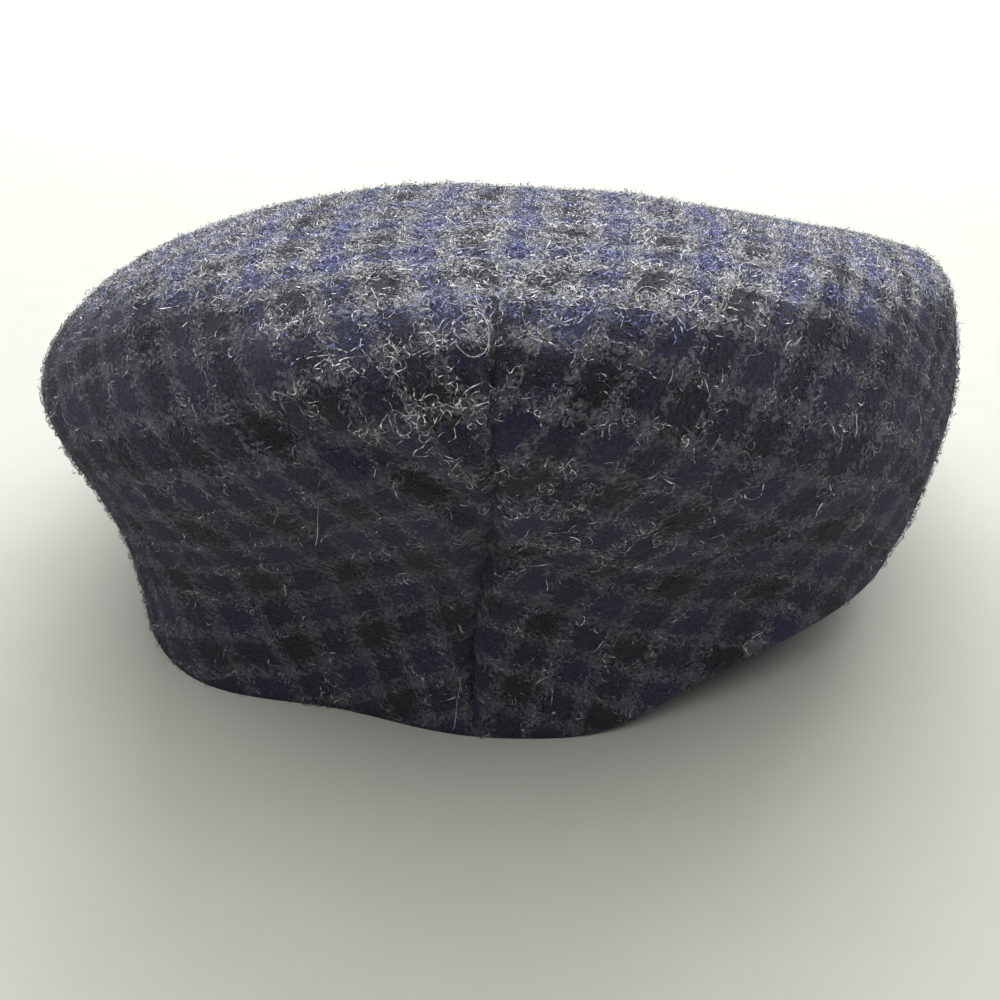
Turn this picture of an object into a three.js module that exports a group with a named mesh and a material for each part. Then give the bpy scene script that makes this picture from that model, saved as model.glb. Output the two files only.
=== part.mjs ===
// Flat cap: a soft wool crown in one piece, closed by a single seam at the centre back, and the
// cloth-covered peak that the front of the crown sits on. Millimetres, +Z up. The cap faces -Y, the
// wearer's left is +X, and it lies on its rim on the plane z = 0.

import * as THREE from "three";

// ---- driving dimensions ------------------------------------------------------------------------

const HUB_X = -1.3; // every section turns round the vertical line through (HUB_X, HUB_Y)
const HUB_Y = 20;
const CROWN_TOP_Z = 78; // height of the crown over that line
const MID_R = 56; // where the sections' midZ is read, half-way in from the ridge
const CLOTH = 2.5; // wool and its backing
const HEM_THICK = 4.5; // the cloth is turned under at the rim
const HEM_HEIGHT = 12;
const PEAK_THICK = 4; // stiff core and the cloth round it
const PEAK_CAMBER = 0.03; // the peak's dome, as a share of its depth
const PEAK_FROM = 120; // the horns of the peak, as angles from the back
const PEAK_TO = 240;
const GAP = 0.3; // crown to peak
const LEAN = -6; // the slack crown leans towards the wearer's right by this much
const LEAN_FROM_Z = 15;
const LEAN_TO_Z = 60;
const SEAM_HALF_ANGLE = 1.2; // the centre-back seam is a narrow groove
const SEAM_DEPTH = 1.2;
const SEAM_LENGTH = 118; // from the rim up over the rear ridge

const ANGLE_STEP = 5;
const PROFILE_STEPS = 24;
const SPLINE_SAMPLES = 240;

// Sections of the crown's outside, one row for each direction from the hub. angle is in degrees from
// the centre back, turning towards the wearer's left. R is the distance from the hub, Z the height.
const CROWN_COLUMNS = [
  "angle", "rimR", "rimZ", "waistR", "waistZ", "bulgeR", "bulgeZ", "ridgeR", "ridgeZ", "midZ",
];
const CROWN_SECTIONS = [
  [0, 100, 0, 99, 28, 118, 71, 108.5, 85, 88.2],
  [15, 98.5, 0, 99, 25, 118, 67, 107.5, 83.5, 88],
  [33, 106, 0, 105, 20, 118, 59, 105.5, 78.5, 87],
  [50, 101.5, 0, 103.5, 20, 117, 54, 102.5, 71, 83],
  [80, 85, 1, 88, 18, 109, 50, 92, 65, 77],
  [100, 83, 4, 85, 16, 106, 41, 89, 59, 73],
  [120, 92, 9.5, 97, 18, 108, 35, 93, 53, 69],
  [135, 118, 5, 121, 14, 118, 27, 99, 46, 66],
  [150, 136, 4, 139, 13, 133, 24, 107, 41, 64],
  [180, 143, 4, 146, 15, 139, 25, 112, 38, 62],
  [210, 136, 4, 139, 13, 133, 24, 107, 42, 64],
  [225, 118, 5, 121, 14, 117, 28, 98, 47, 66],
  [240, 92, 9.5, 97, 19, 103, 37, 89, 55, 68],
  [260, 86, 12, 90, 23, 97, 44, 86, 63, 70],
  [280, 91, 16, 91, 25, 94, 50, 84, 69, 73],
  [310, 100, 16, 102, 28, 100, 55, 92, 77, 81],
  [335, 99.5, 8.5, 100, 28, 112, 61, 103.5, 83.5, 87],
  [346, 100, 1, 100, 28, 116, 67, 107.5, 85, 88],
];

// Sections of the peak's top face, from the head opening out to the edge.
const PEAK_COLUMNS = ["angle", "innerR", "innerZ", "outerR", "outerZ"];
const PEAK_SECTIONS = [
  [120, 82, 9, 88, 8.6],
  [128, 83, 11, 108, 8],
  [138, 85, 14, 130, 4.8],
  [150, 88, 17, 147, 3.4],
  [165, 91, 20, 155, 4],
  [180, 92, 21, 157, 5.2],
  [195, 91, 20, 155, 4],
  [210, 88, 17, 147, 3.4],
  [222, 85, 14, 130, 4.8],
  [232, 83, 11, 108, 8],
  [240, 82, 9, 88, 8.6],
];

// ---- small tools -------------------------------------------------------------------------------

const lerp = THREE.MathUtils.lerp;
const smoothstep = THREE.MathUtils.smoothstep;

function namedRows(columns, rows) {
  return rows.map((row) => Object.fromEntries(columns.map((name, i) => [name, row[i]])));
}

// Reads a table at any angle, smoothly from row to row. A closed table starts again after its last row.
function readSections(rows, angle, closed) {
  const count = rows.length;
  const row = (i) => rows[closed ? (i + count) % count : THREE.MathUtils.clamp(i, 0, count - 1)];
  const angleOf = (i) => row(i).angle + (closed ? 360 * Math.floor(i / count) : 0);
  let i = 0;
  while (i < count - (closed ? 1 : 2) && angleOf(i + 1) <= angle) {
    i += 1;
  }
  const span = angleOf(i + 1) - angleOf(i);
  const t = (angle - angleOf(i)) / span;
  const read = { angle };
  for (const name of Object.keys(rows[0])) {
    if (name === "angle") continue;
    const value = (k) => row(k)[name];
    const slope = (k) => {
      const before = angleOf(k) - angleOf(k - 1);
      const after = angleOf(k + 1) - angleOf(k);
      if (before <= 0 || after <= 0) return (value(k + 1) - value(k - 1)) / (before + after);
      const rise = (value(k + 1) - value(k)) / after;
      const fall = (value(k) - value(k - 1)) / before;
      return (fall * after + rise * before) / (before + after);
    };
    const [a, b] = [value(i), value(i + 1)];
    const [da, db] = [slope(i) * span, slope(i + 1) * span];
    read[name] = (1 + 2 * t) * (1 - t) ** 2 * a + t * (1 - t) ** 2 * da
      + t * t * (3 - 2 * t) * b + t * t * (t - 1) * db;
  }
  return read;
}

// Spreads count + 1 points evenly along a dense line of points.
function spreadEvenly(line, count) {
  const reach = [0];
  for (let i = 1; i < line.length; i += 1) {
    reach.push(reach[i - 1] + line[i].distanceTo(line[i - 1]));
  }
  const total = reach[reach.length - 1];
  const spread = [];
  let j = 1;
  for (let i = 0; i <= count; i += 1) {
    const at = (total * i) / count;
    while (j < line.length - 1 && reach[j] < at) {
      j += 1;
    }
    const t = (at - reach[j - 1]) / (reach[j] - reach[j - 1]);
    spread.push(line[j - 1].clone().lerp(line[j], t));
  }
  return { points: spread, total };
}

// A point of a section, placed round the hub.
function place(angle, r, z, shift = 0) {
  const turn = THREE.MathUtils.degToRad(angle);
  return new THREE.Vector3(HUB_X + r * Math.sin(turn) + shift, HUB_Y + r * Math.cos(turn), z);
}

// Two triangles for the four corners a, b, c, d, split along the shorter diagonal.
function splitQuad(vertices, a, b, c, d) {
  const acrossAC = vertices[a].distanceTo(vertices[c]);
  const acrossBD = vertices[b].distanceTo(vertices[d]);
  return acrossAC <= acrossBD ? [[a, b, c], [a, c, d]] : [[a, b, d], [b, c, d]];
}

function buildMesh(name, vertices, faces, color) {
  const geometry = new THREE.BufferGeometry();
  geometry.setAttribute("position", new THREE.Float32BufferAttribute(vertices.flatMap((v) => v.toArray()), 3));
  geometry.setIndex(faces.flat());
  geometry.computeVertexNormals();
  const mesh = new THREE.Mesh(geometry, new THREE.MeshStandardMaterial({ color, roughness: 1, metalness: 0 }));
  mesh.name = name;
  return mesh;
}

// ---- peak --------------------------------------------------------------------------------------

const peakSections = namedRows(PEAK_COLUMNS, PEAK_SECTIONS);
const crownSections = namedRows(CROWN_COLUMNS, CROWN_SECTIONS);

// Height of the peak's top face at a fraction t of its depth.
function peakTopAt(section, t) {
  const dome = PEAK_CAMBER * (section.outerR - section.innerR);
  return lerp(section.innerZ, section.outerZ, t) + 4 * dome * t * (1 - t);
}

// Height that the crown's edge must keep to clear the peak, or 0 where there is no peak under it.
function seatHeight(angle, r) {
  if (angle < PEAK_FROM || angle > PEAK_TO) return 0;
  const section = readSections(peakSections, angle, false);
  const t = (r - section.innerR) / (section.outerR - section.innerR);
  return peakTopAt(section, THREE.MathUtils.clamp(t, 0, 1)) + GAP;
}

// One closed section of the peak: along the top, round the edge, and back underneath.
function peakRing(angle) {
  const section = readSections(peakSections, angle, false);
  const depth = section.outerR - section.innerR;
  const nose = PEAK_THICK / 2;
  const flat = (depth - nose) / depth;
  const ring = [];
  const add = (t, side) => {
    const middle = peakTopAt(section, t) - nose;
    ring.push(place(angle, lerp(section.innerR, section.outerR, t), middle + side * nose));
  };
  const steps = [0, 0.25, 0.5, 0.75, 1];
  for (const step of steps) add(flat * step, 1);
  for (const turn of [60, 30, 0, -30, -60]) {
    const rounded = THREE.MathUtils.degToRad(turn);
    add(flat + ((1 - flat) * Math.cos(rounded)), Math.sin(rounded));
  }
  for (const step of steps.toReversed()) add(flat * step, -1);
  return ring;
}

function makePeak() {
  const rings = [];
  for (let angle = PEAK_FROM; angle <= PEAK_TO; angle += ANGLE_STEP) {
    rings.push(peakRing(angle));
  }
  const size = rings[0].length;
  const vertices = rings.flat();
  const faces = [];
  for (let i = 0; i < rings.length - 1; i += 1) {
    for (let j = 0; j < size; j += 1) {
      const k = (j + 1) % size;
      const [a, b, c, d] = [i * size + j, i * size + k, (i + 1) * size + k, (i + 1) * size + j];
      faces.push(...splitQuad(vertices, a, d, c, b));
    }
  }
  // The two horns are closed flat, top point to the point under it.
  const last = (rings.length - 1) * size;
  for (let j = 0; j < size / 2 - 1; j += 1) {
    const k = size - 1 - j;
    faces.push([j, j + 1, k]);
    faces.push([last + j, last + k, last + j + 1]);
    if (k - 1 > j + 1) {
      faces.push([j + 1, k - 1, k]);
      faces.push([last + j + 1, last + k, last + k - 1]);
    }
  }
  return buildMesh("peak", vertices, faces, 0x2b2e3a);
}

// ---- crown -------------------------------------------------------------------------------------

// The crown's outside and inside along one direction, both from the rim to the top.
function crownProfile(angle) {
  const here = readSections(crownSections, angle, true);
  const across = readSections(crownSections, (angle + 180) % 360, true);
  const edgeHeight = (r) => Math.max(0, here.rimZ, seatHeight(angle, r));
  const knots = [
    [here.rimR, edgeHeight(here.rimR)],
    [here.waistR, here.waistZ],
    [here.bulgeR, here.bulgeZ],
    [here.ridgeR, here.ridgeZ],
    [MID_R, here.midZ],
    [0, CROWN_TOP_Z],
    [-MID_R, across.midZ],
  ].map(([r, z]) => new THREE.Vector3(r, z, 0));
  const curve = new THREE.CatmullRomCurve3(knots, false, "centripetal");
  const atTop = (knots.length - 2) / (knots.length - 1);
  const line = [];
  for (let i = 0; i <= SPLINE_SAMPLES; i += 1) {
    line.push(curve.getPoint((atTop * i) / SPLINE_SAMPLES));
  }
  const { points, total } = spreadEvenly(line, PROFILE_STEPS);

  const outside = [];
  const inside = [];
  points.forEach((point, i) => {
    const before = points[Math.max(i - 1, 0)];
    const after = points[Math.min(i + 1, PROFILE_STEPS)];
    const along = after.clone().sub(before).normalize();
    const inward = new THREE.Vector3(-along.y, along.x, 0);
    if (i === 0) inward.set(-1, 0, 0);
    if (i === PROFILE_STEPS) inward.set(0, -1, 0);
    const reach = (total * i) / PROFILE_STEPS;
    const wall = lerp(HEM_THICK, CLOTH, smoothstep(reach, HEM_HEIGHT, HEM_HEIGHT + 4));
    const groove = angle === 0 ? SEAM_DEPTH * (1 - smoothstep(reach, SEAM_LENGTH - 20, SEAM_LENGTH)) : 0;
    outside.push(point.clone().addScaledVector(inward, groove));
    inside.push(point.clone().addScaledVector(inward, wall));
  });
  // The hem's underside is level, or follows the peak where it sits on it.
  const hemR = points[0].x - HEM_THICK;
  inside[0].set(hemR, edgeHeight(hemR), 0);
  return { outside, inside };
}

// The crown's upper part leans sideways. Past its highest point a profile keeps the full lean.
function leanOf(profile, i) {
  const reached = profile.slice(0, i + 1).reduce((top, point) => Math.max(top, point.y), 0);
  const full = profile.slice(0, i + 1).some((point) => point.y > LEAN_TO_Z);
  return full ? LEAN : LEAN * smoothstep(reached, LEAN_FROM_Z, LEAN_TO_Z);
}

function makeCrown() {
  const angles = [SEAM_HALF_ANGLE];
  for (let angle = ANGLE_STEP; angle < 360; angle += ANGLE_STEP) {
    angles.push(angle);
  }
  angles.push(360 - SEAM_HALF_ANGLE);
  angles.unshift(0);
  const count = angles.length;
  const profiles = angles.map((angle) => crownProfile(angle));

  const vertices = [];
  const ringOf = (side, i) => {
    const start = vertices.length;
    profiles.forEach((profile, a) => {
      const point = profile[side][i];
      vertices.push(place(angles[a], point.x, point.y, leanOf(profile[side], i)));
    });
    return start;
  };
  const outerRings = [];
  const innerRings = [];
  for (let i = 0; i < PROFILE_STEPS; i += 1) {
    outerRings.push(ringOf("outside", i));
    innerRings.push(ringOf("inside", i));
  }
  const outerTop = vertices.push(place(0, 0, CROWN_TOP_Z, LEAN)) - 1;
  const innerTop = vertices.push(place(0, 0, CROWN_TOP_Z - CLOTH, LEAN)) - 1;

  const faces = [];
  for (let a = 0; a < count; a += 1) {
    const b = (a + 1) % count;
    for (let i = 0; i < PROFILE_STEPS - 1; i += 1) {
      const [o, p] = [outerRings[i], outerRings[i + 1]];
      faces.push(...splitQuad(vertices, o + a, p + a, p + b, o + b));
      const [q, r] = [innerRings[i], innerRings[i + 1]];
      faces.push(...splitQuad(vertices, q + a, q + b, r + b, r + a));
    }
    const last = PROFILE_STEPS - 1;
    faces.push([outerRings[last] + a, outerTop, outerRings[last] + b]);
    faces.push([innerRings[last] + a, innerRings[last] + b, innerTop]);
    faces.push([outerRings[0] + a, outerRings[0] + b, innerRings[0] + b]);
    faces.push([outerRings[0] + a, innerRings[0] + b, innerRings[0] + a]);
  }
  return buildMesh("crown", vertices, faces, 0x3a3d49);
}

const cap = new THREE.Group();
cap.add(makeCrown(), makePeak());

export default cap;
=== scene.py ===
"""A soft wool flat cap in a gun club check, lying on its rim, seen from behind.

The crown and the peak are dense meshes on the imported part's own sections. Both carry cloth coordinates, so
that the check runs over the top and down the walls as the cut cloth does. The brushed surface is made of
curled fibres, nearly all of them rooted in a yarn of their own colour. Tables and lengths are in
millimetres, and everything is put into the scene in metres.
"""

import math

import bpy
import numpy as np
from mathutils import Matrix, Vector


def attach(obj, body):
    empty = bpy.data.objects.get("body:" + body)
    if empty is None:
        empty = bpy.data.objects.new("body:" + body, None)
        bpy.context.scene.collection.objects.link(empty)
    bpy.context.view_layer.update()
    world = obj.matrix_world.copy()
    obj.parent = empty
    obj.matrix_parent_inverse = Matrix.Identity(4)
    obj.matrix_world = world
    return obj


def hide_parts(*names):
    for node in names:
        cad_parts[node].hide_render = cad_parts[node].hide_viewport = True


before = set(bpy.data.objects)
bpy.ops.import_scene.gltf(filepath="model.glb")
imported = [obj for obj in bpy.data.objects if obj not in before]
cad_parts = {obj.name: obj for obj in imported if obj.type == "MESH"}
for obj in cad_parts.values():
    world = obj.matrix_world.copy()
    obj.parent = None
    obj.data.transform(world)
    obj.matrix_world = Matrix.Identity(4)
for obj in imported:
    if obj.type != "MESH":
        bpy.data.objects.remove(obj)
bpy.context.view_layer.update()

MM = 0.001

# ---- the cap's shape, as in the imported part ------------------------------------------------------

HUB = np.array([-1.3, 20.0])  # every section turns round the vertical line through this point
CROWN_TOP_Z = 78.0
MID_R = 56.0  # where the sections' mid_z is read, half-way in from the ridge
CLOTH = 2.5  # wool and its backing
HEM_THICK = 4.5
HEM_HEIGHT = 12.0
PEAK_THICK = 4.0
PEAK_CAMBER = 0.03  # the peak's dome, as a share of its depth
PEAK_FROM, PEAK_TO = 120.0, 240.0
GAP = 0.3
LEAN = -6.0  # the slack crown leans towards the wearer's right
LEAN_FROM_Z, LEAN_TO_Z = 15.0, 60.0

# One row for each direction from the hub: degrees from the centre back, turning towards the wearer's
# left, then the distance from the hub and the height of each turn of the section.
CROWN_COLUMNS = "angle rim_r rim_z waist_r waist_z bulge_r bulge_z ridge_r ridge_z mid_z".split()
CROWN_SECTIONS = [
    [0, 100, 0, 99, 28, 118, 71, 108.5, 85, 88.2],
    [15, 98.5, 0, 99, 25, 118, 67, 107.5, 83.5, 88],
    [33, 106, 0, 105, 20, 118, 59, 105.5, 78.5, 87],
    [50, 101.5, 0, 103.5, 20, 117, 54, 102.5, 71, 83],
    [80, 85, 1, 88, 18, 109, 50, 92, 65, 77],
    [100, 83, 4, 85, 16, 106, 41, 89, 59, 73],
    [120, 92, 9.5, 97, 18, 108, 35, 93, 53, 69],
    [135, 118, 5, 121, 14, 118, 27, 99, 46, 66],
    [150, 136, 4, 139, 13, 133, 24, 107, 41, 64],
    [180, 143, 4, 146, 15, 139, 25, 112, 38, 62],
    [210, 136, 4, 139, 13, 133, 24, 107, 42, 64],
    [225, 118, 5, 121, 14, 117, 28, 98, 47, 66],
    [240, 92, 9.5, 97, 19, 103, 37, 89, 55, 68],
    [260, 86, 12, 90, 23, 97, 44, 86, 63, 70],
    [280, 91, 16, 91, 25, 94, 50, 84, 69, 73],
    [310, 100, 16, 102, 28, 100, 55, 92, 77, 81],
    [335, 99.5, 8.5, 100, 28, 112, 61, 103.5, 83.5, 87],
    [346, 100, 1, 100, 28, 116, 67, 107.5, 85, 88],
]

# Sections of the peak's top face, from the head opening out to the edge.
PEAK_COLUMNS = "angle inner_r inner_z outer_r outer_z".split()
PEAK_SECTIONS = [
    [120, 82, 9, 88, 8.6],
    [128, 83, 11, 108, 8],
    [138, 85, 14, 130, 4.8],
    [150, 88, 17, 147, 3.4],
    [165, 91, 20, 155, 4],
    [180, 92, 21, 157, 5.2],
    [195, 91, 20, 155, 4],
    [210, 88, 17, 147, 3.4],
    [222, 85, 14, 130, 4.8],
    [232, 83, 11, 108, 8],
    [240, 82, 9, 88, 8.6],
]

# ---- the cut of the cloth ------------------------------------------------------------------------

COLUMN_REPEAT = 15.2  # blue, pale, black, pale across the cap
ROW_REPEAT = 16.5  # the same from front to back
CLOTH_TURN = 2.0  # degrees: the columns head a little to the wearer's right
COLUMN_START, ROW_START = 0.9, 7.5  # where the stripes fall
DARK_SHARE = 0.35  # of a repeat is blue, and as much is black half a repeat on
SEAM_LENGTH = 118.0  # from the rim up over the rear ridge
SEAM_DEPTH = 1.9
SEAM_WIDTH = 0.9
DART = 15.0  # degrees of cloth taken out on each side of the seam, at the rim
EASE_FROM, EASE_TO = 30.0, 150.0  # the rest of the spare cloth is eased in along the sides
FOLD_RADIUS = math.radians(118.0)  # millimetres of wall for each degree at the back
SLACK = 30.0  # extra length of cloth in the walls on both sides of the back
SLACK_BEGINS, SLACK_ENDS = (12, 55), (60, 120)  # degrees from the centre back
SLACK_DOWN = (90, 125)  # where it comes in, by the distance from the middle of the top

# Where the cloth sags into a valley: degrees from the centre back and the distance up the wall.
LEFT_FOLD = ([0.4, 2, 4, 6.5, 10, 15, 22], [46, 57, 63, 67, 70, 70.5, 72])
RIGHT_FOLD = ([-44, -30, -19, -9, -0.4], [30, 33, 34, 38, 47])
LEFT_SAG, RIGHT_SAG = 2.6, 1.2  # how deep they are
FOLD_WIDTH = 3.6
RIM_HELD = 6.0  # seam, folds and waves fade out this near the rim

CLOTH_MAP = "cloth"  # the UV map that holds cloth coordinates, in millimetres
NAP_TOWARDS_LIGHT = (-0.26, -0.17, 0.95)  # loose fibres show most where the cloth faces up, forward and right, towards the lamps: partly the brushed top, partly painted light
NAP_RISES = (0.5, 0.82)  # how far it faces that way, where its loose fibres go from few to many
FLOOR_CLEAR = 0.06  # no fibre reaches lower
FIBRE_MAP = "OFBake"  # on fibres: u is a number of the fibre's own, v runs from its root to its tip

# ---- mesh steps ----------------------------------------------------------------------------------

SIDE_ANGLES = [0, 0.3, 0.6, 0.95, 1.35, 1.8, 2.4, 3.1, 4]  # close together by the seam
SIDE_STEPS = 140  # from there round to the front, on each side
STEPS_PER_SPAN = 48  # along a section between two of its turns, before its points are spread evenly
OUTER_STEPS = 126  # up the outside, from the rim to the middle of the top
INNER_STEPS = 40
HEM_STEPS = 6
PEAK_COLUMNS_STEPS = 120
PEAK_ROWS = 24
PEAK_EDGE_STEPS = 8


# ---- small tools ---------------------------------------------------------------------------------


def smoothstep(x, low, high):
    t = np.clip((x - low) / (high - low), 0, 1)
    return t * t * (3 - 2 * t)


def unit(v):
    return v / np.maximum(np.linalg.norm(v, axis=-1, keepdims=True), 1e-12)


def read_sections(columns, rows, angles, closed):
    """The table's columns read at any angles, smoothly from row to row."""
    table = np.array(rows, float)
    if closed:
        turn = np.zeros(table.shape[1])
        turn[0] = 360
        table = np.vstack([table[-2:] - turn, table, table[:3] + turn])
    at, values = table[:, 0], table[:, 1:]
    rise = np.diff(values, axis=0) / np.diff(at)[:, None]
    span = np.diff(at)[:, None]
    slope = np.vstack([rise[:1], np.zeros_like(values[2:]), rise[-1:]])
    slope[1:-1] = (rise[:-1] * span[1:] + rise[1:] * span[:-1]) / (span[:-1] + span[1:])
    angles = np.asarray(angles, float) % 360
    i = np.clip(np.searchsorted(at, angles, side="right") - 1, 0, len(at) - 2)
    h = span[i]
    t = (angles[:, None] - at[i][:, None]) / h
    read = (1 + 2 * t) * (1 - t) ** 2 * values[i] + t * (1 - t) ** 2 * h * slope[i]
    read += t * t * (3 - 2 * t) * values[i + 1] + t * t * (t - 1) * h * slope[i + 1]
    return dict(zip(columns[1:], read.T))


def centripetal(knots, per_span):
    """A centripetal Catmull-Rom line through knots (many lines at once), without the last knot, a guide."""
    knots = np.concatenate([2 * knots[:, :1] - knots[:, 1:2], knots], axis=1)
    line = []
    t = np.linspace(0, 1, per_span + 1)[None, :, None]
    for k in range(1, knots.shape[1] - 2):
        p0, p1, p2, p3 = (knots[:, None, k + n] for n in (-1, 0, 1, 2))
        d0, d1, d2 = (
            np.sqrt(np.linalg.norm(b - a, axis=-1, keepdims=True))
            for a, b in ((p0, p1), (p1, p2), (p2, p3))
        )
        m1 = ((p1 - p0) / d0 - (p2 - p0) / (d0 + d1) + (p2 - p1) / d1) * d1
        m2 = ((p2 - p1) / d1 - (p3 - p1) / (d1 + d2) + (p3 - p2) / d2) * d1
        span = p1 + m1 * t + (3 * (p2 - p1) - 2 * m1 - m2) * t**2 + (2 * (p1 - p2) + m1 + m2) * t**3
        line.append(span if k == 1 else span[:, 1:])
    return np.concatenate(line, axis=1)


def spread(lines, shares):
    """Points at the given shares of each line's length, and those lengths."""
    steps = np.linalg.norm(np.diff(lines, axis=1), axis=-1)
    reach = np.concatenate([np.zeros((len(lines), 1)), np.cumsum(steps, axis=1)], axis=1)
    total = reach[:, -1]
    points = np.empty((len(lines), len(shares), 2))
    for n, line in enumerate(lines):
        for axis in (0, 1):
            points[n, :, axis] = np.interp(shares * total[n], reach[n], line[:, axis])
    return points, total


def waves(points, size, seed, count=24):
    """Smooth random values, nearly all within 1.4 of 0, the same each run. size is a lump's width."""
    rng = np.random.default_rng(seed)
    ways = unit(rng.normal(size=(count, 3))) * rng.uniform(0.6, 1.4, (count, 1)) * math.pi / size
    starts = rng.uniform(0, 2 * math.pi, count)
    return np.sin(points @ ways.T + starts).sum(axis=-1) / math.sqrt(count)


# ---- crown ---------------------------------------------------------------------------------------


def peak_top(section, t):
    dome = PEAK_CAMBER * (section["outer_r"] - section["inner_r"])
    fall = section["inner_z"] + t * (section["outer_z"] - section["inner_z"])
    return fall + 4 * dome * t * (1 - t)


def seat_height(angles, r):
    """The height that the crown's edge keeps to clear the peak, or 0 where there is none under it."""
    angles = angles % 360
    section = read_sections(PEAK_COLUMNS, PEAK_SECTIONS, np.clip(angles, PEAK_FROM, PEAK_TO), False)
    t = np.clip((r - section["inner_r"]) / (section["outer_r"] - section["inner_r"]), 0, 1)
    return np.where((angles >= PEAK_FROM) & (angles <= PEAK_TO), peak_top(section, t) + GAP, 0)


def place(angles, r, z, shift=0.0):
    turn = np.radians(angles)
    return np.stack([HUB[0] + r * np.sin(turn) + shift, HUB[1] + r * np.cos(turn), z + 0 * r], axis=-1)


def crown_profiles(angles, shares):
    """The crown's outside and inside sections, both from the rim to the top, and how long they are."""
    here = read_sections(CROWN_COLUMNS, CROWN_SECTIONS, angles, True)
    across = read_sections(CROWN_COLUMNS, CROWN_SECTIONS, angles + 180, True)

    def edge_height(r):
        return np.maximum(np.maximum(0, here["rim_z"]), seat_height(angles, r))

    flat = np.ones(len(angles))
    knots = [
        (here["rim_r"], edge_height(here["rim_r"])),
        (here["waist_r"], here["waist_z"]),
        (here["bulge_r"], here["bulge_z"]),
        (here["ridge_r"], here["ridge_z"]),
        (MID_R * flat, here["mid_z"]),
        (0 * flat, CROWN_TOP_Z * flat),
        (-MID_R * flat, across["mid_z"]),
    ]
    lines = centripetal(np.array(knots).transpose(2, 0, 1), STEPS_PER_SPAN)
    outside, total = spread(lines, shares)
    along = np.empty_like(outside)
    along[:, 1:-1] = outside[:, 2:] - outside[:, :-2]
    along[:, 0], along[:, -1] = (0, 1), (-1, 0)
    along = unit(along)
    inward = np.stack([-along[..., 1], along[..., 0]], axis=-1)
    reach = shares[None, :] * total[:, None]
    wall = HEM_THICK + (CLOTH - HEM_THICK) * smoothstep(reach, HEM_HEIGHT, HEM_HEIGHT + 4)
    inside = outside + inward * wall[..., None]
    hem_r = outside[:, 0, 0] - HEM_THICK
    inside[:, 0] = np.stack([hem_r, edge_height(hem_r)], axis=-1)
    return outside, inside, total


def lean_of(profiles):
    """How far each point of the profiles leans. Past its highest point a profile keeps the full lean."""
    reached = np.maximum.accumulate(profiles[..., 1], axis=1)
    return LEAN * smoothstep(reached, LEAN_FROM_Z, LEAN_TO_Z)


def grid_normals(grid):
    """Outward normals of a grid that closes on itself round its first axis."""
    around = np.roll(grid, -1, axis=0) - np.roll(grid, 1, axis=0)
    up = np.gradient(grid, axis=1)
    normals = np.cross(up, around)
    normals[:, -1] = (0, 0, 1)
    return unit(normals)


def cloth_coordinates(angles, rho, r):
    """Where each point of the crown lies on the flat cloth, for angles from 0 to 180 on one side.

    The cloth is laid from the top outwards without stretching it. On the walls it has length to spare:
    the seam takes out DART on each side, and the rest is eased in along the sides.
    """
    ratio = np.clip(r / np.maximum(rho, 1e-6), 0, 1)
    ratio[:, -1] = 1
    step = np.diff(angles)[:, None]
    turned = np.zeros_like(ratio)
    turned[1:] = np.cumsum((ratio[1:] + ratio[:-1]) / 2 * step, axis=0)
    total = rho[0, 0]
    dart = DART * smoothstep(rho[:1], total - SEAM_LENGTH, total - SEAM_LENGTH + 90)
    spare = 180 - dart - turned[-1:]
    return dart + turned + spare * smoothstep(angles[:, None], EASE_FROM, EASE_TO)


def cloth_point(rho, alpha, angles):
    """Cloth coordinates in millimetres, across and along the cap.

    rho and alpha are the distance and direction on the flat cloth. angles are the directions on the cap,
    from 0 at the back to 180 on either side.
    """
    turn = np.radians(alpha + CLOTH_TURN)
    beside_back = smoothstep(angles, *SLACK_BEGINS) * (1 - smoothstep(angles, *SLACK_ENDS))
    spare = SLACK * beside_back * smoothstep(rho, *SLACK_DOWN)
    across = rho * np.sin(turn) + COLUMN_START
    return np.stack([across, rho * np.cos(turn) + spare + ROW_START], axis=-1)


def slack(points):
    """Small waves of slack in the cloth, as a distance along its normal."""
    return 0.6 * waves(points, 26.0, 1) + 0.22 * waves(points, 9.0, 2)


def fold(angles, up, route, depth):
    """A valley along a route over the wall, with the cloth above it rolled out."""
    at, height = np.array(route[0]) * FOLD_RADIUS, np.array(route[1])
    across = angles * FOLD_RADIUS
    slope = np.interp(across, at, np.gradient(height, at))
    off = (up - np.interp(across, at, height)) / np.sqrt(1 + slope**2)
    valley = -depth * np.exp(-((off / FOLD_WIDTH) ** 2))
    roll = 0.7 * depth * np.exp(-(((off - 2.4 * FOLD_WIDTH) / (1.6 * FOLD_WIDTH)) ** 2))
    ends = smoothstep(across, at[0] - 3, at[0] + 3) * (1 - smoothstep(across, at[-1] - 14, at[-1]))
    if at[-1] <= 0:
        ends = smoothstep(across, at[0], at[0] + 14) * (1 - smoothstep(across, at[-1] - 3, at[-1] + 3))
    return (valley + roll) * ends


def seam_relief(across, up, length):
    """How far the cloth stands out or in beside the seam: its edges roll into a groove."""
    groove = -SEAM_DEPTH * np.exp(-((across / SEAM_WIDTH) ** 2))
    pucker = 0.25 * np.sin(up * 0.55 + 1.5 * np.sin(up * 0.21)) * np.exp(-across / 9)
    shoulder = (0.5 + pucker) * np.exp(-(((across - 4.5) / 3.5) ** 2))
    return (groove + shoulder) * (1 - smoothstep(up, length - 36, length - 18))  # flat past the ridge


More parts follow.
